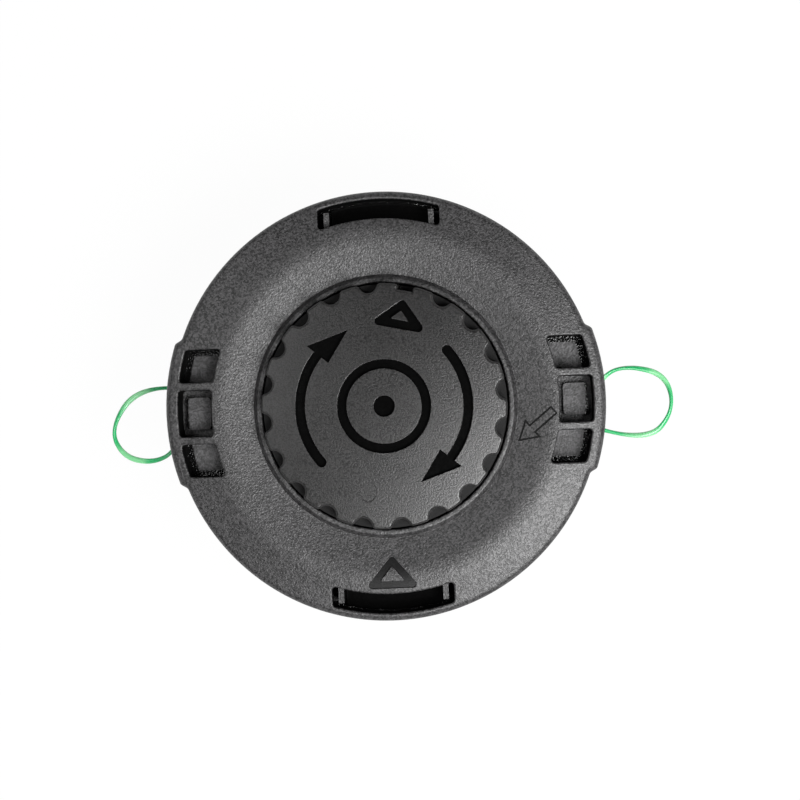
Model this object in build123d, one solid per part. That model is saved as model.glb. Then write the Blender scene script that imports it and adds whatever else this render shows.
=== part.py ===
"""Trimmer head with bump feed, wound by turning its knob.

Millimetres, Z out of the knob, X through the eyelets.
"""

import math
import os

from build123d import *

# Outline of the cover
cover_r = 55.0
bulge_rise = 1.4
bulge_half_deg = 18.2
bulge_blend_deg = 2.6
edge_round = 2.0
cover_h = 13.0
skirt_wall = 2.4
top_wall = 2.8

# Crown of the cover and the collar round the knob
crest_inset = 11.1
crest_round = 17.0
crown_deg = 10.0
collar_foot = 2.4
collar_wall = 1.2
collar_drop = 0.2
collar_slope_h = 1.6
collar_round = 0.4

# Pockets in the bulges and latch slots
pocket_inset = 1.9
pocket_w = 8.7
pocket_half = 16.2
pocket_rib_y = 6.9
pocket_rib_t = 2.0
pocket_corner = 0.8
pocket_depth = 7.5
pocket_wall = 1.6
boss_x = 6.3
boss_y = 8.2
boss_h = 1.9
boss_corner = 1.0
slot_inset = 2.1
slot_w = 5.0
slot_half = 15.5
slot_corner = 0.8
lip_round = 0.5

# Knob
knob_r = 31.0
knob_gap = 0.5
knob_proud = 7.2
knob_dome = 1.5
knob_edge = 0.9
knob_top_t = 3.0
knob_rim_t = 4.6
knob_flange_t = 2.5
knob_flange_w = 4.2
knob_turn_deg = 77.7
notch_count = 20
notch_r = 2.3
notch_corner = 1.0
notch_h = 5.0
index_w = 3.7
index_depth = 1.5
index_h = 9.0

# Marks
mark_depth = 1.2
mark_lip = 0.25
arrow_r = 21.1
arrow_w = 2.3
arrow_tail_deg = 142.0
arrow_base_deg = 62.0
arrow_tip_deg = 36.5
arrow_head_half = 3.3
knob_tri_apex = 27.3
knob_tri_base = 19.8
knob_tri_half = 7.4
knob_tri_band = 2.0
wear_ring_r = 10.6
wear_ring_w = 2.2
dimple_r = 2.6
gate_r = 22.0
gate_long = 2.4
gate_wide = 1.9
gate_depth = 0.35
gate_lip = 0.15
cover_mark_depth = 0.5
cover_mark_lip = 0.15
cover_tri_edge = 1.5
cover_tri_h = 8.4
cover_tri_half = 7.1
cover_tri_band = 1.8
feed_arrow_depth = 0.4
feed_arrow_line = 0.5
feed_arrow_l = 12.4
feed_arrow_head_l = 5.2
feed_arrow_head_half = 3.1
feed_arrow_shaft_half = 1.3
feed_arrow_tip_r = 34.9
feed_arrow_tip_deg = 342.7
feed_arrow_turn_deg = 219.3

# Housing
ring_r = 29.0
ring_wall = 2.6
ring_h = 8.0
ring_round = 0.8
plate_t = 3.0
shoulder_w = 11.0
shoulder_h = 7.0
shoulder_round = 2.5
side_step = 1.0
side_wall = 2.8
lip_h = 2.0
hub_r = 13.0
hub_recess = 1.5
post_r = 11.5
post_over = 3.0
post_wall = 3.0
fan_count = 12
fan_t = 1.8
fan_over = 2.5
fan_out = 4.0
pad_half = 17.4
pad_out = 0.2
pad_wall = 2.4
pad_h = 23.0
pad_step = 0.4
recess_half = 8.5

# Latch tongues of the housing and the rails of the cover
tongue_inset = 4.6
tongue_half = 12.4
tongue_t = 1.8
tongue_l = 23.0
tongue_root = 4.0
tongue_depth = 8.0
hook_out = 3.2
hook_h = 2.0
hook_drop = 2.4
hook_grip = 0.3
rail_t = 1.4
rail_w = 5.1
rail_inset = 5.0
rail_l = 7.0
rail_sink = 1.6

# Spool
spool_clear = 5.2
flange_t = 2.0
divider_r = 38.0
divider_t = 1.2
divider_slit = 5.0
chamber_w = 9.0
core_r = 22.0
core_wall = 2.5
web_t = 2.5
web_rise = 5.0
sleeve_t = 1.8
tooth_count = 12
tooth_h = 2.5
tooth_half_deg = 6.0
tooth_gap = 1.8
lug_count = 4
lug_half_deg = 4.0
front_tooth_w = 4.0
back_tooth_w = 5.0
back_lug_clear = 2.3

# Line
line_d = 1.5
pack_r = 36.0
pack_gap = 0.1
lead_run = 3.5
pass_depth = 1.5

# Spring, washer, screws, arbor insert, eyelets
wire_t = 1.3
spring_gap = 0.95
coil_count = 5
seat_t = 0.8
seat_w = 2.3
screw_ring_r = 17.0
screw_count = 4
screw_r = 1.4
screw_head_r = 2.4
screw_head_h = 1.8
screw_l = 12.0
screw_boss_r = 2.45
drive_l = 3.2
drive_w = 0.7
drive_depth = 0.7
thread_minor_d = 8.65
insert_af = 15.0
insert_l = 20.0
insert_flange_r = 10.0
insert_flange_t = 2.0
eyelet_bore = 3.0
eyelet_land = 0.6
eyelet_wall = 1.0
eyelet_flange_t = 0.8
eyelet_flare_in = 0.84
eyelet_flare_out = 3.3
eyelet_flare_l = 1.375
eyelet_rim = 0.9
eyelet_round = 0.3

# Clearances, and how far a rib or lug is let into its wall
run_gap = 0.3
fit_gap = 0.1
slide_gap = 0.1
travel = 4.5
stop_gap = 0.5
sink = 0.5

# Levels, from the resting face up
plate_z = ring_h + plate_t
back_tooth_z = plate_z + stop_gap + travel
spool_z = back_tooth_z + tooth_h
chamber_back_z = spool_z + flange_t
divider_z = chamber_back_z + chamber_w
chamber_front_z = divider_z + divider_t
flange_front_z = chamber_front_z + chamber_w
face_z = flange_front_z + flange_t
knob_flange_z = face_z + knob_flange_t
collar_z = knob_flange_z + run_gap
front_tooth_z = face_z + tooth_h
moat_z = face_z + run_gap + pocket_wall
pocket_z = moat_z + boss_h
crest_z = pocket_z + pocket_depth
rim_z = crest_z - cover_h
collar_top_z = crest_z - collar_drop
knob_top_z = collar_top_z + knob_proud
knob_rim_z = knob_top_z - knob_dome
notch_z = knob_rim_z - notch_h
web_z = divider_z + web_rise
post_z = web_z + web_t + post_over
eyelet_z = divider_z + divider_t / 2 - travel / 2
tongue_z = crest_z - tongue_depth
hook_z = tongue_z - hook_drop
sky_z = knob_top_z + cover_h

# Radii that follow from others
bulge_r = cover_r + bulge_rise
collar_r = knob_r + knob_gap
valley_r = collar_r + collar_foot
crest_r = cover_r - crest_inset
pocket_r_out = cover_r - pocket_inset
pocket_r_in = pocket_r_out - pocket_w
slot_r_out = cover_r - slot_inset
slot_r_in = slot_r_out - slot_w
cover_tri_base = slot_r_in - cover_tri_edge
cover_tri_apex = cover_tri_base - cover_tri_h
plate_r = cover_r - shoulder_w
side_r = cover_r - side_step
side_r_in = side_r - side_wall
lip_r = cover_r - skirt_wall - fit_gap
tongue_r = cover_r - tongue_inset
pad_x = cover_r + pad_out
pad_x_in = pad_x - pad_wall
flange_r = side_r_in - spool_clear
core_r_in = core_r - core_wall
back_tooth_r = core_r_in + sink
front_tooth_r = knob_r + knob_flange_w + tooth_gap
knob_r_in = knob_r - knob_rim_t
coil_r = post_r + spring_gap + wire_t / 2
seat_r = post_r + 2 * run_gap
slope = math.radians(crown_deg)


def at(radius, degrees):
    """Point in the plan at a radius and an angle."""
    angle = math.radians(degrees)
    return (radius * math.cos(angle), radius * math.sin(angle))


def turned(points, rounds=()):
    """Solid of revolution about Z from (radius, height) corners, some of them rounded."""
    face = make_face(Polyline(*points, close=True))
    for corner, radius in rounds:
        face = fillet(face.vertices().sort_by_distance((*corner, 0))[0], radius)
    return revolve(Plane.XZ * face, Axis.Z)


def tube(r_in, r_out, z_low, z_high):
    """Plain ring about Z."""
    return turned([(r_in, z_low), (r_out, z_low), (r_out, z_high), (r_in, z_high)])


def slab(sketch, z_low, z_high):
    """A sketch in the plan raised between two levels."""
    return extrude(Pos(0, 0, z_low) * sketch, z_high - z_low)


def sector(r_in, r_out, half_deg, z_low, z_high):
    """Block between two radii, as wide as an angle to each side of X."""
    wide = Polygon((0, 0), at(2 * r_out, -half_deg), at(2 * r_out, half_deg), align=None)
    return slab((Circle(r_out) - Circle(r_in)) & wide, z_low, z_high)


def arc_strip(r_in, r_out, low, high, corner):
    """Area between two arcs about the axis and two lines along X, with rounded corners."""
    strip = Pos(r_out, (low + high) / 2) * Rectangle(r_out, high - low)
    area = (Circle(r_out) - Circle(r_in)) & strip
    return fillet(area.vertices(), corner)


def around(shape, count, start_deg=0.0):
    """Copies of a shape evenly round Z."""
    return [Rot(0, 0, start_deg + 360 * k / count) * shape for k in range(count)]


def outline(grow):
    """Plan of the cover: a circle with two low bulges, blended smoothly."""
    edges = []
    low, high = cover_r + grow, bulge_r + grow
    for side in (0, 180):
        leave = side + bulge_half_deg
        land = leave + bulge_blend_deg
        back = side + 180 - bulge_half_deg - bulge_blend_deg
        rise = side + 180 - bulge_half_deg
        edges.append(CenterArc((0, 0), high, side - bulge_half_deg, 2 * bulge_half_deg))
        edges.append(Spline(at(high, leave), at(low, land), tangents=(at(1, leave + 90), at(1, land + 90))))
        edges.append(CenterArc((0, 0), low, land, back - land))
        edges.append(Spline(at(low, back), at(high, rise), tangents=(at(1, back + 90), at(1, rise + 90))))
    return make_face(edges)


def crown_z(radius):
    """Height of the cover's top at a radius: a cone on each side of a rounded crest."""
    away = abs(radius - crest_r)
    reach = crest_round * math.sin(slope)
    if away < reach:
        return crest_z - crest_round + math.sqrt(crest_round ** 2 - away ** 2)
    return crest_z - crest_round * (1 - math.cos(slope)) - (away - reach) * math.tan(slope)


def crown(drop):
    """Everything under the crowned top of the cover, lowered by a drop."""
    reach = crest_round * math.sin(slope)
    radii = (valley_r, crest_r - reach, crest_r, crest_r + reach, bulge_r + bulge_rise)
    valley, inner, top, outer, far = [(r, crown_z(r) - drop) for r in radii]
    edges = [
        Line((0, 0), (far[0], 0)),
        Line((far[0], 0), far),
        Line(far, outer),
        ThreePointArc(outer, top, inner),
        Line(inner, valley),
        Line(valley, (0, valley[1])),
        Line((0, valley[1]), (0, 0)),
    ]
    return revolve(Plane.XZ * make_face(edges), Axis.Z)


def dome_z(radius):
    """Height of the knob's domed top at a radius."""
    big = (knob_r ** 2 + knob_dome ** 2) / (2 * knob_dome)
    return knob_top_z - big + math.sqrt(big ** 2 - radius ** 2)


def dome(drop):
    """Everything under the domed top of the knob, lowered by a drop."""
    top, half, far = [(r, dome_z(r) - drop) for r in (0, collar_r / 2, collar_r)]
    edges = [
        Line((0, 0), (far[0], 0)),
        Line((far[0], 0), far),
        ThreePointArc(far, half, top),
        Line(top, (0, 0)),
    ]
    return revolve(Plane.XZ * make_face(edges), Axis.Z)


def mouth(body, cut, height):
    """Edges where a cut opens into a top whose height follows from the radius."""
    found = []
    for edge in body.edges():
        middle = edge @ 0.5
        on_top = abs(middle.Z - height(math.hypot(middle.X, middle.Y))) < 0.01
        if on_top and cut.distance_to(Vertex(middle)) < 0.01:
            found.append(edge)
    return found


def sunk(sketch, body, floor, height, lip):
    """A body with a sketch sunk into its top, down to a floor, and the mouth of it rounded."""
    cut = slab(sketch, face_z, sky_z)
    body -= cut - floor
    return fillet(mouth(body, cut, height), lip)


def triangle_band(apex, base, half, band):
    """Band of an isosceles triangle on the X axis, apex at one radius, base line at another."""
    span = abs(base - apex)
    side = math.hypot(span, half)
    step = math.copysign(1, base - apex)
    inner_apex = apex + step * band * side / half
    inner_base = base - step * band
    inner_half = half * abs(inner_base - inner_apex) / span
    outer = Polygon((apex, 0), (base, -step * half), (base, step * half), align=None)
    inner_half *= step
    inner = Polygon((inner_apex, 0), (inner_base, -inner_half), (inner_base, inner_half), align=None)
    return fillet(outer.vertices(), band / 2) - fillet(inner.vertices(), band / 6)


def turn_arrow():
    """Curved arrow about the axis, pointing clockwise."""
    shaft = SlotArc(CenterArc((0, 0), arrow_r, arrow_base_deg, arrow_tail_deg - arrow_base_deg), arrow_w)
    head = Polygon(
        at(arrow_r, arrow_tip_deg),
        at(arrow_r + arrow_head_half, arrow_base_deg),
        at(arrow_r - arrow_head_half, arrow_base_deg),
        align=None,
    )
    return shaft + head


def feed_arrow():
    """Outline of a straight arrow with its tip at the origin, pointing along X."""
    tail, neck = -feed_arrow_l, -feed_arrow_head_l
    corners = [
        (0, 0),
        (neck, feed_arrow_head_half),
        (neck, feed_arrow_shaft_half),
        (tail, feed_arrow_shaft_half),
        (tail, -feed_arrow_shaft_half),
        (neck, -feed_arrow_shaft_half),
        (neck, -feed_arrow_head_half),
    ]
    whole = Polygon(*corners, align=None)
    return whole - offset(whole, -feed_arrow_line, kind=Kind.INTERSECTION)


def build_collar():
    """Ring of the cover round the knob."""
    top_out = (collar_r + collar_wall, collar_top_z)
    top_in = (collar_r, collar_top_z)
    section = [
        (collar_r, collar_z), (valley_r, collar_z), (valley_r, collar_top_z - collar_slope_h),
        top_out, top_in,
    ]
    return turned(section, [(top_out, collar_round), (top_in, collar_round)])


def build_pockets():
    """Hollow of the three pockets on the +X side, with a block standing in the middle one."""
    rib = pocket_rib_t / 2
    side = arc_strip(pocket_r_in, pocket_r_out, pocket_rib_y + rib, pocket_half, pocket_corner)
    middle = arc_strip(pocket_r_in, pocket_r_out, -pocket_rib_y + rib, pocket_rib_y - rib, pocket_corner)
    block = Pos((pocket_r_in + pocket_r_out) / 2, 0) * RectangleRounded(boss_x, boss_y, boss_corner)
    hollow = slab(side, pocket_z, sky_z) + slab(mirror(side, Plane.XZ), pocket_z, sky_z)
    return hollow + (slab(middle, moat_z, sky_z) - slab(block, moat_z - sink, pocket_z))


def build_rails():
    """Two rails on the +X side that guide a latch tongue between them."""
    strip = Rectangle(rail_w, rail_t, align=(Align.MAX, Align.CENTER))
    rail_y = tongue_half + run_gap + rail_t / 2
    top = crest_z - rail_sink - top_wall / 2
    rails = [slab(Pos(cover_r - rail_inset, y) * strip, top - rail_l, top) for y in (rail_y, -rail_y)]
    return rails[0] + rails[1]


def middle_radius(edge):
    """Distance of an edge's middle from the axis."""
    middle = edge @ 0.5
    return math.hypot(middle.X, middle.Y)


def build_cover():
    """Front shell."""
    shell = slab(outline(0), rim_z, sky_z) & crown(0)
    top = shell.edges().filter_by(lambda e: e.center().Z > rim_z + sink)
    shell = fillet(top.filter_by(lambda e: middle_radius(e) > cover_r - fit_gap), edge_round)
    shell -= slab(outline(-skirt_wall), rim_z, sky_z) & crown(top_wall)
    shell -= slab(Circle(collar_r), 0, sky_z)
    shell += build_collar()
    under = crown(top_wall / 4)
    box = arc_strip(pocket_r_in - pocket_wall, bulge_r - skirt_wall + fit_gap, -pocket_half - pocket_wall,
                    pocket_half + pocket_wall, pocket_corner)
    lug = sector(front_tooth_r, front_tooth_r + front_tooth_w, lug_half_deg, face_z + run_gap, sky_z) & under
    shell += around(slab(box, moat_z - pocket_wall, sky_z) & under, 2)
    shell += around(lug, lug_count, 45)
    slot = slab(arc_strip(slot_r_in, slot_r_out, -slot_half, slot_half, slot_corner), pocket_z, sky_z)
    for cut in around(build_pockets(), 2) + around(slot, 2, 90):
        shell -= cut
        shell = fillet(mouth(shell, cut, crown_z), lip_round)
    shell += around(build_rails(), 2, 90)
    catch = Circle(tongue_r + hook_out + run_gap) - Circle(slot_r_in)
    catch &= Pos(cover_r, 0) * Rectangle(cover_r, 2 * (tongue_half + run_gap))
    shell -= around(slab(catch, hook_z - hook_grip, hook_z + hook_h + hook_grip), 2, 90)
    mark = Rot(0, 0, -90) * triangle_band(cover_tri_apex, cover_tri_base, cover_tri_half, cover_tri_band)
    shell = sunk(mark, shell, crown(cover_mark_depth), crown_z, cover_mark_lip)
    tip = at(feed_arrow_tip_r, feed_arrow_tip_deg)
    arrow = Pos(*tip) * Rot(0, 0, feed_arrow_turn_deg) * feed_arrow()
    return shell - (slab(arrow, face_z, sky_z) - crown(feed_arrow_depth))


def build_knob():
    """Bump knob with its flange and screw bosses."""
    plan = Circle(knob_r)
    for notch in around(Pos(knob_r, 0) * Circle(notch_r), notch_count)[1:]:
        plan -= notch
    key = Pos(knob_r, 0) * Rectangle(2 * index_depth, index_w)
    plan -= key
    corners = plan.vertices().filter_by(lambda v: math.hypot(v.X, v.Y) > knob_r - index_depth / 2)
    body = slab(fillet(corners, notch_corner), notch_z, sky_z) & dome(0)
    body = fillet(body.faces().sort_by(Axis.Z)[-1].outer_wire().edges(), knob_edge)
    body += tube(0, knob_r, face_z, notch_z)
    body -= slab(key, knob_rim_z - index_h, notch_z)
    body += tube(knob_r_in, knob_r + knob_flange_w, face_z, knob_flange_z)
    roof_z = knob_rim_z - knob_top_t
    body -= slab(Circle(knob_r_in), face_z, roof_z)
    boss = tube(screw_r + fit_gap / 2, screw_boss_r, web_z + web_t, roof_z + sink)
    body += around(Pos(screw_ring_r, 0) * boss, screw_count, 45 - knob_turn_deg)
    marks = triangle_band(knob_tri_apex, knob_tri_base, knob_tri_half, knob_tri_band)
    for arrow in around(turn_arrow(), 2):
        marks += arrow
    marks += Circle(wear_ring_r + wear_ring_w / 2) - Circle(wear_ring_r - wear_ring_w / 2)
    marks += Circle(dimple_r)
    body = sunk(marks, body, dome(mark_depth), dome_z, mark_lip)
    gate = Pos(-gate_r, 0) * Ellipse(gate_long, gate_wide)
    body = sunk(gate, body, dome(gate_depth), dome_z, gate_lip)
    return Rot(0, 0, knob_turn_deg) * body


def build_tongue():
    """Latch tongue on the +X side, with the hook that catches in the cover."""
    wide = Pos(cover_r, 0) * Rectangle(cover_r, 2 * tongue_half)
    tongue_in = Circle(tongue_r - tongue_t)
    leaf = (Circle(tongue_r) - tongue_in) & wide
    root = (Circle(side_r_in + sink) - tongue_in) & wide
    hook = (Circle(tongue_r + hook_out) - tongue_in) & wide
    foot_z = tongue_z - tongue_l
    tongue = slab(leaf, foot_z, tongue_z) + slab(root, foot_z, foot_z + tongue_root)
    return tongue + slab(hook, hook_z, hook_z + hook_h)


def build_pad():
    """The flat pad on the +X side that carries an eyelet."""
    wide = Rectangle(pad_x, 2 * pad_half, align=(Align.MIN, Align.CENTER))
    plan = (Circle(bulge_r - pad_step) & wide) - Circle(side_r_in + sink)
    return slab(plan, rim_z - pad_h, rim_z)


def build_housing():
    """Back shell with hub, lugs, eyelet pads and latch tongues."""
    shoulder_z = ring_h + shoulder_h
    ring_in = (ring_r - ring_wall, 0)
    ring_out = (ring_r, 0)
    plate_edge = (plate_r, ring_h)
    shoulder = (side_r, shoulder_z)
    section = [
        (0, hub_recess), (hub_r, hub_recess), (hub_r, ring_h), (ring_r - ring_wall, ring_h),
        ring_in, ring_out, (ring_r, ring_h), plate_edge, shoulder,
        (side_r, rim_z), (lip_r, rim_z), (lip_r, rim_z + lip_h),
        (side_r_in, rim_z + lip_h), (side_r_in, shoulder_z + plate_t - side_wall / 2),
        (plate_r - plate_t / 2, plate_z), (post_r, plate_z), (post_r, post_z), (0, post_z),
    ]
    rounds = [(ring_in, ring_round), (ring_out, ring_round)]
    rounds += [(plate_edge, shoulder_round), (shoulder, shoulder_round)]
    body = turned(section, rounds)
    fan = Polygon(
        (ring_r - sink, fan_over), (plate_r + fan_out, ring_h - sink), (side_r - sink, shoulder_z - sink),
        (side_r - sink, shoulder_z + plate_t), (plate_r, plate_z - sink), (ring_r - sink, plate_z - sink),
        align=None,
    )
    body += around(extrude(Plane.XZ * fan, fan_t / 2, both=True), fan_count, 180 / fan_count)
    body += around(build_pad(), 2)
    sides = (Align.MAX, Align.CENTER, Align.CENTER)
    inside = Pos(pad_x_in, 0, eyelet_z) * Box(recess_half, 2 * recess_half, 2 * recess_half, align=sides)
    hole = Pos(pad_x, 0, eyelet_z) * Rot(0, 90, 0) * Cylinder(eyelet_bore + eyelet_wall, 4 * pad_wall)
    body -= around(inside + hole, 2)
    lug_z = back_tooth_z - back_lug_clear
    lug = sector(back_tooth_r, back_tooth_r + back_tooth_w, lug_half_deg, plate_z - sink, lug_z)
    body += around(lug, lug_count, 45)
    body += around(build_tongue(), 2, 90)
    flange = slab(Circle(insert_flange_r + fit_gap / 2), hub_recess, hub_recess + insert_flange_t)
    hexagon = RegularPolygon(insert_af / 2, 6, major_radius=False)
    body -= flange + slab(hexagon, hub_recess, hub_recess + insert_l)
    return body - slab(Circle(post_r - post_wall), hub_recess + insert_l + post_wall, sky_z)


def build_spool():
    """Spool with two chambers, teeth on both faces and a web that slides on the post."""
    bore_r = post_r + slide_gap
    section = [
        (core_r_in, spool_z), (flange_r, spool_z), (flange_r, chamber_back_z), (core_r, chamber_back_z),
        (core_r, divider_z), (divider_r, divider_z), (divider_r, chamber_front_z), (core_r, chamber_front_z),
        (core_r, flange_front_z), (flange_r, flange_front_z), (flange_r, face_z), (core_r_in, face_z),
        (core_r_in, web_z + web_t), (bore_r + sleeve_t, web_z + web_t), (bore_r + sleeve_t, post_z),
        (bore_r, post_z), (bore_r, web_z), (core_r_in, web_z),
    ]
    body = turned(section)
    front = sector(front_tooth_r, front_tooth_r + front_tooth_w, tooth_half_deg, face_z - sink, front_tooth_z)
    back = sector(back_tooth_r, back_tooth_r + back_tooth_w, tooth_half_deg, back_tooth_z, spool_z + sink)
    body += around(front + back, tooth_count)
    long = Pos(core_r, 0) * Rectangle(2 * (divider_r - core_r + sink), divider_slit)
    slit = slab(long - Circle(core_r), divider_z, chamber_front_z)
    hole = Pos(core_r, 0, divider_z + divider_t / 2) * Rot(0, 90, 0) * Cylinder(line_d, 4 * core_wall)
    body -= around(slit + hole, 2)
    shank = Pos(screw_ring_r, 0, web_z) * Cylinder(screw_r + fit_gap, 4 * web_t)
    return body - around(shank, screw_count, 45)


def build_screws():
    """The four screws from the web up into the knob."""
    head_z = web_z - screw_head_h
    screw = tube(0, screw_head_r, head_z, web_z) + tube(0, screw_r, web_z, head_z + screw_l)
    drive = Pos(0, 0, head_z) * Box(drive_l, drive_w, 2 * drive_depth)
    screw -= drive + Rot(0, 0, 90) * drive
    return Compound(children=around(Pos(screw_ring_r, 0) * screw, screw_count, 45))


def build_spring():
    """Return spring between the housing's plate and the seat washer."""
    low, high = plate_z + wire_t / 2, web_z - seat_t - wire_t / 2
    pitch = (high - low) / coil_count
    path = Pos(0, 0, low) * Helix(pitch, high - low, coil_r)
    start = Plane(origin=path @ 0, z_dir=path % 0, x_dir=(1, 0, 0))
    coil = sweep(start * Rectangle(wire_t, wire_t), path, is_frenet=True)
    return coil & tube(0, coil_r * 2, plate_z, web_z - seat_t)


def build_eyelet():
    """Flared metal bush on the +X side."""
    bore, wall = eyelet_bore, eyelet_bore + eyelet_wall - fit_gap / 4
    face_x = pad_x + eyelet_flange_t
    flare = (bore + eyelet_flare_out, face_x)
    edge = (bore + eyelet_flare_out + eyelet_rim, face_x)
    throat = (bore, face_x - eyelet_flare_l)
    section = [
        (bore + eyelet_flare_in, pad_x_in), (wall, pad_x_in), (wall, pad_x), (edge[0], pad_x),
        edge, flare, throat, (bore, throat[1] - eyelet_land),
    ]
    bush = turned(section, [(edge, eyelet_round), (flare, eyelet_round), (throat, eyelet_round)])
    return Pos(0, 0, eyelet_z) * Rot(0, 90, 0) * bush


def build_insert():
    """Steel nut moulded into the hub, which takes the drive shaft."""
    nut = slab(RegularPolygon(insert_af / 2, 6, major_radius=False), hub_recess, hub_recess + insert_l)
    nut += tube(0, insert_flange_r, hub_recess, hub_recess + insert_flange_t)
    return nut - slab(Circle(thread_minor_d / 2), 0, sky_z)


def tight(points):
    """Bend radius at each corner, from the shorter run beside it and the turn."""
    radii = []
    for a, b, c in zip(points, points[1:], points[2:]):
        first, second = Vector(*b) - Vector(*a), Vector(*c) - Vector(*b)
        half = math.radians(first.get_angle(second)) / 2
        radii.append(0.45 * min(first.length, second.length) / math.tan(half))
    return radii


def line_along(points):
    """Round line along straight runs with a tangent arc at each corner."""
    radii = tight(points)
    path = FilletPolyline(*points, radius=radii)
    section = Plane(origin=path @ 0, z_dir=path % 0) * Circle(line_d / 2)
    body = sweep(section, path)
    print("bends", [round(r, 1) for r in radii], "length", round(path.length, 1),
          "volume share", round(body.volume / (path.length * math.pi * line_d ** 2 / 4), 3))
    return body


def lead_points(loop, z_start):
    """From where the line leaves its pack to the eyelet, ending in the loop's own direction."""
    first, second = Vector(*loop[0]), Vector(*loop[1])
    last = first - (second - first).normalized() * lead_run
    radius = pack_r + line_d / 2 + run_gap
    away = math.hypot(last.X, last.Y)
    angle = math.degrees(math.atan2(last.Y, last.X) - math.acos(radius / away))
    start = at(radius, angle)
    return [(start[0], start[1], z_start), tuple(last), tuple(first)]


# Loops of line outside, as points on their routes
pass_x = pad_x + eyelet_flange_t - pass_depth
right_plan = [(pass_x, 1.0), (63.9, 8.9), (75.2, 6.4), (78.3, -4.2), (70.6, -12.0), (57.6, -8.6)]
left_plan = [(pass_x, 1.0), (60.2, 11.9), (70.9, 12.2), (76.0, 2.2), (67.4, -8.3), (57.4, -7.6)]
right_loop = [(x, y, eyelet_z) for x, y in right_plan]
left_loop = [(x, y, eyelet_z) for x, y in left_plan]
half_turn = Rot(0, 0, 180)
low_start = chamber_back_z + run_gap + line_d / 2
high_start = flange_front_z - travel - run_gap - line_d / 2

parts = {
    "housing": build_housing(),
    "cover": build_cover(),
    "bump_knob": build_knob(),
    "spool": build_spool(),
    "knob_screws": build_screws(),
    "spring": build_spring(),
    "spring_seat": tube(seat_r, seat_r + seat_w, web_z - seat_t, web_z),
    "arbor_insert": build_insert(),
    "eyelet_right": build_eyelet(),
    "eyelet_left": half_turn * build_eyelet(),
    "line_pack_back": tube(core_r + pack_gap, pack_r, chamber_back_z + pack_gap, divider_z - pack_gap),
    "line_pack_front": tube(core_r + pack_gap, pack_r, chamber_front_z + pack_gap, flange_front_z - pack_gap),
    "line_lead_right": line_along(lead_points(right_loop, low_start)),
    "line_lead_left": half_turn * line_along(lead_points(left_loop, high_start)),
    "line_loop_right": line_along(right_loop),
    "line_loop_left": half_turn * line_along(left_loop),
}

os.makedirs("parts", exist_ok=True)
for name, shape in parts.items():
    export_step(shape, f"parts/{name}.step")
    box = shape.bounding_box()
    size = [round(v, 1) for v in (box.size.X, box.size.Y, box.size.Z)]
    print(name, len(shape.solids()), "solids", round(shape.volume), "mm3, size", size)
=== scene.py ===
# %% [markdown]
# # Dressing a string trimmer head
#
# The imported model already holds every piece at its real size, so this lesson only adds what the
# eye needs: a camera, soft light, smooth shading, moulded plastic, metal and two loops of green
# cutting line. We load the model first. Nothing we add may make the head bigger.

# %% Load the frame
import math

import bmesh
import bpy
from mathutils import Matrix, Vector


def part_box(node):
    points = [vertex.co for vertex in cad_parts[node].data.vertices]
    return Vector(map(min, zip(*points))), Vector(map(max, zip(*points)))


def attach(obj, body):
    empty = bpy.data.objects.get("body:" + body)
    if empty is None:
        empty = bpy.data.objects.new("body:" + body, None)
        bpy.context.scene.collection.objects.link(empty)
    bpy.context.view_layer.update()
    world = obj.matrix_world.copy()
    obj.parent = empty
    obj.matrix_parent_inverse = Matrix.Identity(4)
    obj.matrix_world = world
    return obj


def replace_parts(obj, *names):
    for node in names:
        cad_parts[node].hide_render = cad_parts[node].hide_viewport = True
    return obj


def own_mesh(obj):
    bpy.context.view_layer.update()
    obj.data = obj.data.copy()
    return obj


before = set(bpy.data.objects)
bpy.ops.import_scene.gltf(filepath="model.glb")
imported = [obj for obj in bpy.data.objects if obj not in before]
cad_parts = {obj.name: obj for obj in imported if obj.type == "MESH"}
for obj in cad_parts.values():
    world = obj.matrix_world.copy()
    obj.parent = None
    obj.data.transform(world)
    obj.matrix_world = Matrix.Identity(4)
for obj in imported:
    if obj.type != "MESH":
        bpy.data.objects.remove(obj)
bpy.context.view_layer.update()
MM = 0.001

# %% [markdown]
# The portrait is taken from above. A long lens half a metre away keeps the knob, the cover and the
# loops of line, which lie at different heights, nearly in one scale. The camera stands a little to
# the right of the axis, so the left walls of the pockets show. Tipping it towards the head would
# make an oval of the round rim, so it looks straight down and the lens is shifted back instead.

# %% Camera
SENSOR = 36.0
RIM_LEVEL = 48 * MM
VIEW_DISTANCE = 450 * MM
FRAME_WIDTH = 205.8 * MM
VIEW_ASIDE = 24 * MM
# The head's place in the picture, in shares of the frame's width
SHIFT_RIGHT = 0.0168
SHIFT_UP = 0.0076
HEAD_TURN = math.radians(2.3)


def add_camera():
    lens = bpy.data.cameras.new("portrait")
    lens.sensor_width = SENSOR
    lens.lens = SENSOR * VIEW_DISTANCE / FRAME_WIDTH
    lens.shift_x = SHIFT_RIGHT - VIEW_ASIDE / FRAME_WIDTH
    lens.shift_y = SHIFT_UP
    camera = bpy.data.objects.new("portrait", lens)
    turn = Matrix.Rotation(-HEAD_TURN, 3, "Z")
    camera.location = turn @ Vector((VIEW_ASIDE, 0, RIM_LEVEL + VIEW_DISTANCE))
    camera.rotation_euler = turn.to_euler()
    bpy.context.collection.objects.link(camera)
    bpy.context.scene.camera = camera
    return camera


camera = add_camera()
bpy.context.scene.view_settings.view_transform = "Standard"
print("lens", round(camera.data.lens, 1), "mm")

# %% [markdown]
# Shader maths reads best as plain sums. This small class holds one socket of a node tree, and
# each sum written with it adds a Math node. Every other node comes from its `node` method:
# settings first, then values or links for the sockets.


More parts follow.
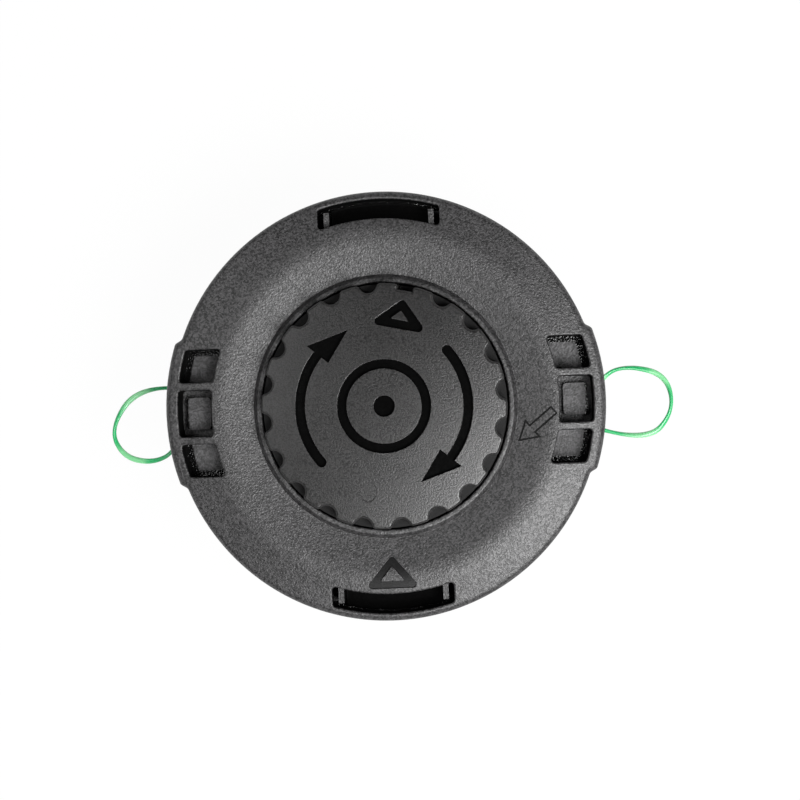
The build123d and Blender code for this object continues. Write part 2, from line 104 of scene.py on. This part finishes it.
# %% Shader maths
class Wire:
    def __init__(self, tree, socket):
        self.tree = tree
        self.socket = socket

    def node(self, kind, settings, inputs, output=0):
        made = self.tree.nodes.new(kind)
        for name, value in settings.items():
            setattr(made, name, value)
        for key, value in inputs.items():
            if isinstance(value, Wire):
                self.tree.links.new(value.socket, made.inputs[key])
            else:
                made.inputs[key].default_value = value
        return Wire(self.tree, made.outputs[output])

    def math(self, operation, other=0.0):
        return self.node("ShaderNodeMath", {"operation": operation}, {0: self, 1: other})

    def __add__(self, other):
        return self.math("ADD", other)

    def __sub__(self, other):
        return self.math("SUBTRACT", other)

    def __rsub__(self, other):
        return self.node("ShaderNodeMath", {"operation": "SUBTRACT"}, {0: other, 1: self})

    def __mul__(self, other):
        return self.math("MULTIPLY", other)

    __radd__ = __add__
    __rmul__ = __mul__

    def between(self, low, high):
        """0 below low, 1 above high, and a smooth step from one to the other."""
        values = {0: self, 1: low, 2: high}
        return self.node("ShaderNodeMapRange", {"interpolation_type": "SMOOTHSTEP"}, values)

    def colour(self, start, end):
        """From one colour to another as this value goes from 0 to 1."""
        paints = {0: self, 6: start, 7: end}
        return self.node("ShaderNodeMix", {"data_type": "RGBA"}, paints, output=2)

    def noise(self, size, detail=2.0, twist=0.0):
        """Soft noise with spots of about this size, read at this place."""
        values = {"Vector": self, "Scale": 1 / size, "Detail": detail, "Distortion": twist}
        return self.node("ShaderNodeTexNoise", {}, values)

    def parts(self):
        """The X, Y and Z of this place."""
        made = self.node("ShaderNodeSeparateXYZ", {}, {0: self}).socket.node
        return [Wire(self.tree, out) for out in made.outputs]


def first_wire(tree, kind, output):
    """The start of a tree: an output of a node that needs no inputs."""
    return Wire(tree, None).node(kind, {}, {}, output)


def rgb(red, green, blue):
    return (red, green, blue, 1.0)


print("wires ready")

# %% [markdown]
# A finish starts as a plain Principled shader. It holds the place on the surface, in the piece's
# own coordinates, so that a pattern stays put when the knob turns. Finished ones are kept by name.


# %% Start a finish
class Finish:
    def __init__(self, name):
        self.material = bpy.data.materials.new(name)
        self.material.use_nodes = True
        self.tree = self.material.node_tree
        self.shader = self.tree.nodes["Principled BSDF"]
        self.place = first_wire(self.tree, "ShaderNodeTexCoord", "Object")

    def feed(self, **sockets):
        """Values or wires for the shader's sockets, named with _ for a space."""
        for name, value in sockets.items():
            socket = self.shader.inputs[name.replace("_", " ").title().replace("Ior", "IOR")]
            if isinstance(value, Wire):
                self.tree.links.new(value.socket, socket)
            else:
                socket.default_value = value

    def bump(self, height, depth, strength=1.0):
        """Relief of a height from 0 to 1, as deep as given."""
        values = {"Height": height, "Distance": depth, "Strength": strength}
        self.feed(normal=self.place.node("ShaderNodeBump", {}, values))


FINISHES = {}


def keep(slot, finish):
    """Store a finish under the name of its material slot."""
    FINISHES[slot] = finish.material
    print("finish:", slot, len(finish.tree.nodes), "nodes")


print("finishes so far:", len(FINISHES))

# %% [markdown]
# The cover is glass-filled nylon from a mould that was spark-eroded, which leaves a coarse grain
# that hides sink marks and gives grip. A bump alone would vanish at this distance, so the grain is
# in the colour too: a soft noise for its worms, and small cells of random tint for the sparkle of
# its tops. The floors of the pockets are torn and paler, with painted shade along their outer walls.

# %% Grained nylon of the cover
WORM_SIZE = 0.50 * MM
SPECK_SIZE = 0.42 * MM
POCKET_FLOOR = (44.9 * MM, 46.1 * MM)
FLOOR_FADE = 0.3 * MM
POCKET_END = 14.4 * MM
POCKET_RIM = 51.0 * MM
SHADE_FADE = 0.6 * MM


def pocket_floors(z):
    """1 at the level of the pockets' floors, 0 above and below."""
    low, high = POCKET_FLOOR
    return z.between(low, low + FLOOR_FADE) * (1 - z.between(high - FLOOR_FADE, high))


def pocket_wall_shade(x, y):
    """1 in the strip of painted shade along the pockets' outer walls."""
    ends = y.math("ABSOLUTE").between(POCKET_END, POCKET_END + SHADE_FADE)
    rim = (x * x + y * y).math("SQRT").between(POCKET_RIM, POCKET_RIM + SHADE_FADE)
    return ends.math("MAXIMUM", rim)


def grained_nylon():
    finish = Finish("grained_nylon")
    place = finish.place
    x, y, z = place.parts()
    floors, wall_shade = pocket_floors(z), pocket_wall_shade(x, y)
    worms = place.noise(WORM_SIZE, detail=1.5)
    cells = {"Vector": place, "Scale": 1 / SPECK_SIZE}
    tints = place.node("ShaderNodeTexVoronoi", {}, cells, output="Color")
    specks = place.node("ShaderNodeRGBToBW", {}, {"Color": tints})
    cloud = place.noise(9 * MM)
    streaks = place.noise(1.3 * MM, detail=3.0, twist=1.5).between(0.35, 0.68)
    relief = (worms * 0.45 + specks * 0.55).between(0.32, 0.68)
    mottle = relief * 0.85 + cloud * 0.15
    skin = mottle.colour(rgb(0.0005, 0.0005, 0.0005), rgb(0.052, 0.0505, 0.052))
    torn = streaks.colour(rgb(0.020, 0.0195, 0.020), rgb(0.080, 0.078, 0.081))
    # Painted shade: the pocket floors turn nearly black along their outer walls.
    torn = wall_shade.colour(torn, rgb(0.001, 0.001, 0.001))
    finish.feed(base_color=floors.colour(skin, torn), specular_ior_level=0.62)
    finish.feed(roughness=0.49 - relief * 0.08 + floors * (0.12 - wall_shade * 0.45))
    finish.bump(worms.between(0.35, 0.65), 0.04 * MM, 0.9)
    return finish


keep("grained_nylon", grained_nylon())

# %% [markdown]
# The knob runs on the ground, so its mould is only lightly blasted: a fine satin with soft clouds
# where the melt met the mould. One fine noise drives tone, gloss and bump together, because on the
# real skin all three come from the same pits.


# %% Satin nylon of the knob
def satin_nylon():
    finish = Finish("satin_nylon")
    place = finish.place
    grain = place.noise(0.38 * MM, detail=2.0).between(0.36, 0.64)
    cloud = place.noise(7 * MM, detail=3.0)
    tone = (grain * 0.65 + cloud * 0.35).colour(rgb(0.001, 0.001, 0.001), rgb(0.026, 0.0252, 0.0252))
    finish.feed(base_color=tone, roughness=0.29 + grain * 0.05, specular_ior_level=0.6)
    finish.bump(grain, 0.03 * MM, 0.6)
    return finish


keep("satin_nylon", satin_nylon())

# %% [markdown]
# The knob's sunk marks were cut into the mould with smooth tools, so they shine like black lacquer,
# with a trace of the tool's path. The tips of the latch tongues get the same finish, and there its
# near-black colour is painted shade for the deep slots. Low roughness on a nearly black colour is
# enough: what shows is what the surface mirrors.


# %% Polished nylon of the sunk places
def polished_nylon():
    finish = Finish("polished_nylon")
    trace = finish.place.noise(0.8 * MM, detail=2.0, twist=0.8)
    tone = trace.colour(rgb(0.001, 0.001, 0.001), rgb(0.003, 0.003, 0.003))
    finish.feed(base_color=tone, roughness=0.06 + trace * 0.06)
    finish.bump(trace, 0.02 * MM, 0.4)
    return finish


keep("polished_nylon", polished_nylon())

# %% [markdown]
# Shallow floors, such as those of the notches and of the triangle on the cover, sit between the
# two: dull, and darker than the skin round them by painted shade, as little light reaches in from the
# side.
# A darker colour alone would still shine, so the specular level is low as well.


# %% Dull nylon with painted shade for shallow floors
def dull_shaded_nylon():
    finish = Finish("dull_shaded_nylon")
    grain = finish.place.noise(0.5 * MM, detail=2.0)
    # Painted shade: the floors are darker than the skin round them.
    tone = grain.colour(rgb(0.001, 0.001, 0.001), rgb(0.010, 0.0098, 0.010))
    finish.feed(base_color=tone, roughness=0.34 + grain * 0.1, specular_ior_level=0.22)
    finish.bump(grain, 0.03 * MM, 0.6)
    return finish


keep("dull_shaded_nylon", dull_shaded_nylon())

# %% [markdown]
# Walls of the pockets and slots stand nearly in line with the view. Their colour is painted shade:
# flat black, without gloss, so they don't mirror the floors beside them.


# %% Painted shade on the walls
def shaded_wall_nylon():
    finish = Finish("shaded_wall_nylon")
    grain = finish.place.noise(0.6 * MM, detail=2.0)
    # Painted shade: the walls are near black, far darker than the nylon round them.
    tone = grain.colour(rgb(0.0008, 0.0008, 0.0008), rgb(0.003, 0.003, 0.003))
    finish.feed(base_color=tone, roughness=0.7 + grain * 0.1, specular_ior_level=0.05)
    return finish


keep("shaded_wall_nylon", shaded_wall_nylon())

# %% [markdown]
# The housing, the spool and the latch tongues are the same nylon straight from a plain mould:
# nearly black, matt, with a faint flow pattern and no grain to speak of. Two noises of very
# different size give both the fine skin and the wide swirls.


# %% Black nylon of the housing
def black_nylon():
    finish = Finish("black_nylon")
    place = finish.place
    fine = place.noise(0.5 * MM, detail=2.0)
    flow = place.noise(14 * MM, detail=3.0, twist=1.2)
    mottle = (fine * 0.4 + flow * 0.6).between(0.3, 0.7)
    tone = mottle.colour(rgb(0.017, 0.017, 0.018), rgb(0.034, 0.033, 0.034))
    finish.feed(base_color=tone, roughness=0.42 + fine * 0.16)
    finish.bump(fine, 0.03 * MM, 0.5)
    return finish


keep("black_nylon", black_nylon())

# %% [markdown]
# Spring, washer, screws and the nut for the drive shaft are zinc-plated steel. The eyelets are
# turned aluminium, rubbed bright by the line. On metal an uneven polish shows more than an uneven
# colour, so most of the noise goes into the roughness.


# %% Metals
def plated_steel():
    finish = Finish("plated_steel")
    spots = finish.place.noise(1.6 * MM, detail=4.0)
    tone = spots.between(0.35, 0.7).colour(rgb(0.50, 0.50, 0.49), rgb(0.62, 0.62, 0.63))
    finish.feed(base_color=tone, metallic=1.0, roughness=0.24 + spots * 0.2)
    finish.bump(spots, 0.01 * MM, 0.4)
    return finish


keep("steel", plated_steel())


def turned_alloy():
    finish = Finish("turned_alloy")
    rings = finish.place.noise(0.35 * MM, detail=1.0)
    cloud = finish.place.noise(3 * MM, detail=3.0)
    tone = cloud.colour(rgb(0.66, 0.66, 0.67), rgb(0.80, 0.80, 0.81))
    finish.feed(base_color=tone, metallic=1.0, roughness=0.26 + rings * 0.16)
    finish.bump(rings, 0.008 * MM, 0.5)
    return finish


keep("alloy", turned_alloy())

# %% [markdown]
# Cutting line is drawn from clear green nylon, flattened and twisted so that it flies quietly.
# Where a flat side turns to the light it looks pale, and where an edge turns up it is deep
# green; these bands are painted into the colour, so the pale ones are painted highlight. The tube
# stores how far along the line each point is, and the finish follows that.

# %% Green line
TWIST_LENGTH = 20 * MM


def green_line():
    finish = Finish("green_line")
    along = finish.place.node("ShaderNodeAttribute", {"attribute_name": "along"}, {}, output=2)
    cloud = finish.place.noise(4 * MM, detail=2.0)
    phase = along * (2 * math.pi / TWIST_LENGTH) + cloud * 2.0
    # Painted highlight: pale bands along the twist, where a flat side faces up.
    painted_highlight = phase.math("SINE").between(-0.4, 0.9)
    tone = painted_highlight.colour(rgb(0.018, 0.40, 0.125), rgb(0.20, 0.58, 0.27))
    finish.feed(base_color=tone, roughness=0.32, coat_weight=0.3)
    return finish


keep("green_line", green_line())

# %% [markdown]
# The two loops of line come first among the pieces, because they decide how far the model
# reaches. Each follows a NURBS line over nearly the same few points as the solid. A curve's own
# bevel can't twist a flattened section evenly, so a ring of edges is pushed along that line step
# by step, turned a little at each step, and closed at both ends.

# %% Loops of line
LINE_D = 1.5 * MM
LINE_FLAT = 0.70
EYELET_Z = 27.85 * MM
LINE_SIDES = 16
RIGHT_PLAN = [
    (54.5, 1.0), (57.5, 6.4), (64.5, 8.3), (74.5, 5.4), (76.1, -4.6), (68.5, -12.4), (56.5, -8.6),
]
LEFT_PLAN = [
    (54.5, 1.0), (57.8, 9.6), (64.3, 12.8), (72.3, 10.8), (75.6, 3.0), (67.7, -7.9), (58.0, -7.2),
]


def show(mesh, name, finish_name):
    """An object for a mesh, with its finish, linked into the scene."""
    piece = bpy.data.objects.new(name, mesh)
    bpy.context.collection.objects.link(piece)
    mesh.materials.clear()
    mesh.materials.append(FINISHES[finish_name])
    return piece


def smooth_route(points):
    """Close points along the NURBS line that has these control points."""
    curve = bpy.data.curves.new("route", "CURVE")
    curve.dimensions = "3D"
    spline = curve.splines.new("NURBS")
    spline.points.add(len(points) - 1)
    for knot, point in zip(spline.points, points):
        knot.co = (*point, 1)
    spline.order_u = 3
    spline.use_endpoint_u = True
    spline.resolution_u = 24
    guide = bpy.data.objects.new("route", curve)
    mesh = bpy.data.meshes.new_from_object(guide)
    path = [vert.co.copy() for vert in mesh.vertices]
    bpy.data.objects.remove(guide)
    bpy.data.meshes.remove(mesh)
    return path


def line_frames(path):
    """Place, direction and twist of the line's section at each point of a flat path."""
    frames, along = [], 0.0
    for k, point in enumerate(path):
        before, after = path[max(k - 1, 0)], path[min(k + 1, len(path) - 1)]
        ahead = (after - before).normalized()
        if k:
            along += (point - path[k - 1]).length
        side = Vector((0, 0, 1)).cross(ahead)
        axes = Matrix((side, Vector((0, 0, 1)), ahead)).transposed().to_4x4()
        turn = Matrix.Rotation(math.pi * along / TWIST_LENGTH, 4, "Z")
        frames.append((Matrix.Translation(point) @ axes @ turn, along))
    return frames


def twisted_line(name, path):
    """A flattened, twisted tube along a path, with the length along it stored at each point."""
    bm = bmesh.new()
    length = bm.verts.layers.float.new("along")
    ring = bmesh.ops.create_circle(bm, cap_ends=False, segments=LINE_SIDES, radius=LINE_D / 2)["verts"]
    bmesh.ops.scale(bm, vec=(1.0, LINE_FLAT, 1.0), verts=ring)
    edges = bm.edges[:]
    frames = line_frames(path)
    bmesh.ops.transform(bm, matrix=frames[0][0], verts=ring)
    first = edges
    for (place, _), (step, along) in zip(frames, frames[1:]):
        grown = bmesh.ops.extrude_edge_only(bm, edges=edges)["geom"]
        verts = [part for part in grown if isinstance(part, bmesh.types.BMVert)]
        edges = [part for part in grown if isinstance(part, bmesh.types.BMEdge) and part.is_boundary]
        bmesh.ops.transform(bm, matrix=step @ place.inverted(), verts=verts)
        for vert in verts:
            vert[length] = along
    for end in (first, edges):
        bmesh.ops.contextual_create(bm, geom=end)
    bmesh.ops.recalc_face_normals(bm, faces=bm.faces)
    mesh = bpy.data.meshes.new(name)
    bm.to_mesh(mesh)
    bm.free()
    mesh.shade_smooth()
    return mesh


def add_loop(name, plan, turn):
    """One loop of line, from its points in millimetres on the right-hand side."""
    place = Matrix.Rotation(turn, 4, "Z")
    path = smooth_route([place @ Vector((x * MM, y * MM, EYELET_Z)) for x, y in plan])
    loop = show(twisted_line(name, path), name, "green_line")
    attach(loop, "housing")
    return loop


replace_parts(add_loop("cutting_line_right", RIGHT_PLAN, 0.0), "line_loop_right")
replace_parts(add_loop("cutting_line_left", LEFT_PLAN, math.pi), "line_loop_left")

# %% [markdown]
# Light on a smooth top shows every facet. On the cover's crown and the knob's dome we know the true
# shape, a rounded crest between two slopes and a shallow ball, so a formula can give the height and
# slope at any radius. The shading, and the search for sunk faces, both use it.

# %% Shapes of the two tops
KNOB_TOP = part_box("bump_knob")[1][2]
KNOB_R = 31 * MM
KNOB_DOME = 1.5 * MM
DOME_BALL = (KNOB_R ** 2 + KNOB_DOME ** 2) / (2 * KNOB_DOME)
CREST_R = 43.9 * MM
CREST_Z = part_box("cover")[1][2]
CREST_ROUND = 17 * MM
CROWN_SLOPE = math.radians(10)
CREST_REACH = CREST_ROUND * math.sin(CROWN_SLOPE)


def crown_top(radius):
    """Height and slope of the cover's top at a radius."""
    away = radius - CREST_R
    if abs(away) < CREST_REACH:
        height = math.sqrt(CREST_ROUND ** 2 - away ** 2)
        return CREST_Z - CREST_ROUND + height, -away / height
    rounded = CREST_ROUND * (1 - math.cos(CROWN_SLOPE))
    fall = rounded + (abs(away) - CREST_REACH) * math.tan(CROWN_SLOPE)
    return CREST_Z - fall, -math.copysign(math.tan(CROWN_SLOPE), away)


def dome_top(radius):
    """Height and slope of the knob's top at a radius."""
    height = math.sqrt(DOME_BALL ** 2 - radius ** 2)
    return KNOB_TOP - DOME_BALL + height, -radius / height


print("crest", round(CREST_Z / MM, 2), "dome", round(KNOB_TOP / MM, 2))

# %% [markdown]
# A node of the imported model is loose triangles, which shade as flat facets. A modifier can't join
# them, so we merge a copy, mark as sharp only the edges that really are, and let the copy stand for
# the node.

# %% Merged copies that stand for the nodes
MERGE_GAP = 0.002 * MM
SHARP_EDGE = math.radians(28)


def dressed(node, body, finish_name):
    """A merged copy of a node with smooth shading, which rides on its body in the node's place."""
    mesh = bpy.data.meshes.new(node + "_skin")
    bm = bmesh.new()
    bm.from_mesh(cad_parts[node].data)
    bmesh.ops.remove_doubles(bm, verts=bm.verts, dist=MERGE_GAP)
    bm.to_mesh(mesh)
    bm.free()
    if "custom_normal" in mesh.attributes:
        mesh.attributes.remove(mesh.attributes["custom_normal"])
    mesh.shade_smooth()
    mesh.set_sharp_from_angle(angle=SHARP_EDGE)
    piece = show(mesh, node + "_skin", finish_name)
    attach(piece, body)
    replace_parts(piece, node)
    print(piece.name, len(mesh.polygons), "faces")
    return piece


cover = dressed("cover", "housing", "grained_nylon")
knob = dressed("bump_knob", "spool", "satin_nylon")
shell = dressed("housing", "housing", "black_nylon")
nut = dressed("arbor_insert", "housing", "steel")
for node, body, finish_name in (
    ("spool", "spool", "black_nylon"),
    ("eyelet_right", "housing", "alloy"),
    ("eyelet_left", "housing", "alloy"),
    ("knob_screws", "spool", "steel"),
    ("spring_seat", "carriage", "steel"),
    ("line_lead_right", "housing", "green_line"),
    ("line_lead_left", "housing", "green_line"),
):
    dressed(node, body, finish_name)

# %% [markdown]
# One moulding has several finishes: its skin, its walls and the floors of its marks. Each face is
# picked by how deep it lies under the true top and which way it looks, and gets its own slot.

# %% Finishes of the sunk places
COVER_MARKS_R = 53.2 * MM
POCKET_FOOT = 43 * MM
KNOB_MARKS_R = 28.3 * MM
TONGUE_TIP = 42.3 * MM


def radius_of(face):
    return math.hypot(face.center.x, face.center.y)


def depth_in_cover(face):
    inside = radius_of(face) < COVER_MARKS_R and face.center.z > POCKET_FOOT
    return crown_top(radius_of(face))[0] - face.center.z if inside else 0.0


def depth_in_knob(face):
    return dome_top(min(radius_of(face), KNOB_R))[0] - face.center.z


def is_wall(face):
    return depth_in_cover(face) > 0.3 * MM and abs(face.normal.z) < 0.5


def is_shallow_floor(face):
    return 0.25 * MM < depth_in_cover(face) < 1.2 * MM and face.normal.z > 0.9


def is_mark(face):
    """Floors, walls and rounded mouths of the knob's marks."""
    depth = depth_in_knob(face)
    mouth = depth > 0.03 * MM and face.normal.z < 0.97
    return radius_of(face) < KNOB_MARKS_R and (mouth or depth > 0.4 * MM)


def is_notch(face):
    return depth_in_knob(face) > 1.0 * MM and radius_of(face) > KNOB_MARKS_R


def is_tongue_tip(face):
    return face.center.z > TONGUE_TIP


def repaint(piece, finish_name, chosen):
    """Another finish on the faces of a piece that a test picks."""
    piece.data.materials.append(FINISHES[finish_name])
    slot = len(piece.data.materials) - 1
    picked = [face for face in piece.data.polygons if chosen(face)]
    for face in picked:
        face.material_index = slot
    print(piece.name, finish_name, len(picked), "faces")


# Painted shade on the walls of the pockets and slots.
repaint(cover, "shaded_wall_nylon", is_wall)
# Painted shade on the shallow floors of the cover's marks.
repaint(cover, "dull_shaded_nylon", is_shallow_floor)
repaint(knob, "polished_nylon", is_mark)
# Painted shade on the floors of the knob's notches.
repaint(knob, "dull_shaded_nylon", is_notch)
# Painted shade: the tongue tips in the deep slots get the near-black polished finish.
repaint(shell, "polished_nylon", is_tongue_tip)

# %% [markdown]
# Long triangles still show in the gloss of the two tops. Finer triangles would need another model,
# so the shading normals are set from the formula wherever a corner lies on the true top.

# %% True normals
CROWN_R = 56.4 * MM
ON_TOP = 0.02 * MM
SAME_WAY = 0.8


def set_true_normals(mesh, top, reach):
    """Shading normals from a formula wherever a corner lies on the top that it describes."""
    normals = []
    for face in mesh.polygons:
        for corner in face.loop_indices:
            place = mesh.vertices[mesh.loops[corner].vertex_index].co
            radius = math.hypot(place.x, place.y)
            normal = Vector((0, 0, 0))
            if 0 < radius < reach:
                height, slope = top(radius)
                true = Vector((-slope * place.x / radius, -slope * place.y / radius, 1)).normalized()
                if abs(place.z - height) < ON_TOP and true.dot(face.normal) > SAME_WAY:
                    normal = true
            normals.append(normal)
    mesh.normals_split_custom_set(normals)
    return sum(1 for normal in normals if normal.length > 0)


print("crown corners", set_true_normals(cover.data, crown_top, CROWN_R))
print("dome corners", set_true_normals(knob.data, dome_top, KNOB_R))

# %% [markdown]
# A round-wire spring pushes the spool outwards. A ring of edges is spun about the axis and lifted
# a little at each step, which winds the whole coil at once. A bump of the knob presses the spring
# shorter by the travel.

# %% Return spring
COIL_R = 13.1 * MM
WIRE_D = 1.3 * MM
COILS = 5
COIL_STEPS = 48
SPRING_FOOT, SPRING_HEAD = (corner[2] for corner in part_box("spring"))


def spun_rings(bm, places, thick, turns, rise, steps, sides=10):
    """Rings or coils about Z with a regular section, one corner inwards, in one spin."""
    stand = Matrix.Rotation(math.pi / 2, 4, "X") @ Matrix.Rotation(math.pi / 2, 4, "Z")
    for radius, level in places:
        spot = Matrix.Translation((radius, 0, level)) @ stand
        bmesh.ops.create_circle(bm, cap_ends=False, segments=sides, radius=thick / 2, matrix=spot)
    start = bm.edges[:]
    made = bmesh.ops.spin(
        bm, geom=bm.verts[:] + start, cent=(0, 0, 0), axis=(0, 0, 1), dvec=(0, 0, rise / steps),
        angle=2 * math.pi * turns, steps=steps, use_merge=rise == 0)
    if rise:
        bmesh.ops.contextual_create(bm, geom=start)
        last = [part for part in made["geom_last"] if isinstance(part, bmesh.types.BMEdge)]
        bmesh.ops.contextual_create(bm, geom=last)


def spun_piece(bm, name, finish_name, body):
    """The finished mesh as a piece that rides on a body."""
    bmesh.ops.recalc_face_normals(bm, faces=bm.faces)
    mesh = bpy.data.meshes.new(name)
    bm.to_mesh(mesh)
    bm.free()
    mesh.shade_smooth()
    piece = show(mesh, name, finish_name)
    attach(piece, body)
    print(name, len(mesh.polygons), "faces")
    return piece


coil = bmesh.new()
rise = SPRING_HEAD - SPRING_FOOT - WIRE_D
spun_rings(coil, [(COIL_R, SPRING_FOOT + WIRE_D / 2)], WIRE_D, COILS, rise, COIL_STEPS * COILS)
spring = spun_piece(coil, "return_spring", "steel", "housing")
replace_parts(spring, "spring")
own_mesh(spring)

# %% [markdown]
# The nut for the drive shaft has a left-hand M10 thread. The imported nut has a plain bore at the
# thread's crests, so the copy's bore is opened to the roots and a three-sided ridge is wound into
# it, one pitch per turn.

# %% Thread in the nut
THREAD_CREST = 4.325 * MM
THREAD_ROOT = 5.0 * MM
THREAD_PITCH = 1.25 * MM
THREAD_STEPS = 400
NUT_FOOT, NUT_HEAD = (corner[2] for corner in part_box("arbor_insert"))


def open_bore(piece):
    """Move the wall of the bore from the crests to the roots."""
    bm = bmesh.new()
    bm.from_mesh(piece.data)
    wall = [vert for vert in bm.verts if math.hypot(vert.co.x, vert.co.y) < 1.02 * THREAD_CREST]
    grow = THREAD_ROOT / THREAD_CREST
    bmesh.ops.scale(bm, vec=(grow, grow, 1), verts=wall)
    bm.to_mesh(piece.data)
    bm.free()


open_bore(nut)
# A three-sided section is three quarters as deep as the circle round it
tooth = (THREAD_ROOT - THREAD_CREST) * 4 / 3
climb = NUT_HEAD - NUT_FOOT - 2 * tooth
ridge = bmesh.new()
start = (THREAD_CREST + tooth / 2, NUT_FOOT + tooth)
spun_rings(ridge, [start], tooth, -climb / THREAD_PITCH, climb, THREAD_STEPS, sides=3)
spun_piece(ridge, "arbor_thread", "steel", "housing")

# %% [markdown]
# The spool is full of line. Of each pack only the outer layer and the end turns can ever be seen,
# so those are laid turn by turn and the middle stays empty.

# %% Packs of line
CORE_R = 22.1 * MM
PACK_R = 36.0 * MM
TURNS = 6
PACK_STEPS = 72
for node in ("line_pack_back", "line_pack_front"):
    low, high = (corner[2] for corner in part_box(node))
    pitch = (high - low - LINE_D) / (TURNS - 1)
    layers = int((PACK_R - CORE_R) / LINE_D)
    places = []
    for layer in range(layers):
        for turn in range(TURNS) if layer == 0 else (0, TURNS - 1):
            places.append((PACK_R - LINE_D * (layer + 0.5), low + LINE_D / 2 + pitch * turn))
    pack = bmesh.new()
    spun_rings(pack, places, LINE_D, 1, 0, PACK_STEPS)
    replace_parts(spun_piece(pack, node + "_turns", "green_line", "spool"), node)

# %% [markdown]
# The head lies on a white sheet that runs on to the horizon. More light would burn out the head, so
# the sheet itself glows, but only for the camera, mirrors and glass. The light that bounces off it is
# that of an ordinary pale table, and a little of the shadow stays.

# %% Floor
FLOOR_SIZE = 6.0
FLOOR_GLOW = 0.97


def seen_rays(tree):
    """1 for rays from the camera, mirrors and glass, 0 for the light on the head."""
    seen = first_wire(tree, "ShaderNodeLightPath", "Is Camera Ray")
    rays = seen.socket.node.outputs
    for kind in ("Is Glossy Ray", "Is Transmission Ray"):
        seen = seen.math("MAXIMUM", Wire(tree, rays[kind]))
    return seen


def add_floor():
    mesh = bpy.data.meshes.new("table")
    bm = bmesh.new()
    bmesh.ops.create_grid(bm, x_segments=2, y_segments=2, size=FLOOR_SIZE)
    bm.to_mesh(mesh)
    bm.free()
    floor = bpy.data.objects.new("table", mesh)
    bpy.context.collection.objects.link(floor)
    finish = Finish("table")
    finish.feed(base_color=rgb(0.86, 0.86, 0.86), roughness=0.9)
    sheet = Wire(finish.tree, finish.shader.outputs[0])
    glow = sheet.node("ShaderNodeEmission", {}, {"Strength": 1.0})
    share = seen_rays(finish.tree) * FLOOR_GLOW
    mixed = sheet.node("ShaderNodeMixShader", {}, {0: share, 1: sheet, 2: glow})
    finish.tree.links.new(mixed.socket, finish.tree.nodes["Material Output"].inputs[0])
    mesh.materials.append(finish.material)
    print("floor", FLOOR_SIZE * 2, "m wide")


add_floor()

# %% [markdown]
# A studio tent is white at its sides and open at the top. The same sky all round would wash out the
# sunk marks, which mirror what is overhead, so this one fades from the horizon upwards.

# %% Sky
SKY_SIDES = 0.5
SKY_FADE = 0.48
SKY_HEIGHTS = (0.10, 0.60)


def add_sky():
    """White near the horizon, like the walls of a tent, and dark overhead."""
    world = bpy.data.worlds.new("studio")
    world.use_nodes = True
    bpy.context.scene.world = world
    tree = world.node_tree
    height = first_wire(tree, "ShaderNodeTexCoord", "Generated").parts()[2]
    strength = SKY_SIDES - height.between(*SKY_HEIGHTS) * SKY_FADE
    back = tree.nodes["Background"]
    back.inputs["Color"].default_value = rgb(1, 1, 1)
    tree.links.new(strength.socket, back.inputs["Strength"])
    print("sky", world.name)


add_sky()

# %% [markdown]
# A strong soft box stands at the lower right, a weaker one below and the weakest at the left, as in
# a small product tent. The crowned ring then shows its shape: bright where it tips towards the strong
# box, dark where it tips away. All lean far from overhead, so the polished marks don't mirror them.

# %% Lights
LAMP_LEAN = math.radians(32)
LAMP_DISTANCE = 0.8


def soft_box(name, azimuth, size, power):
    """A square lamp that looks at the head from an azimuth in degrees."""
    lamp = bpy.data.lights.new(name, "AREA")
    lamp.shape = "SQUARE"
    lamp.size = size
    lamp.energy = power
    around = Matrix.Rotation(math.radians(azimuth), 3, "Z")
    away = around @ Vector((math.sin(LAMP_LEAN), 0, math.cos(LAMP_LEAN)))
    box = bpy.data.objects.new(name, lamp)
    box.location = Vector((0, 0, RIM_LEVEL)) + away * LAMP_DISTANCE
    box.rotation_euler = away.to_track_quat("Z", "Y").to_euler()
    bpy.context.collection.objects.link(box)
    print(name, power, "W")


soft_box("key", azimuth=328, size=0.40, power=8.5)
soft_box("low", azimuth=285, size=0.35, power=2.4)
soft_box("left", azimuth=165, size=0.35, power=1.2)
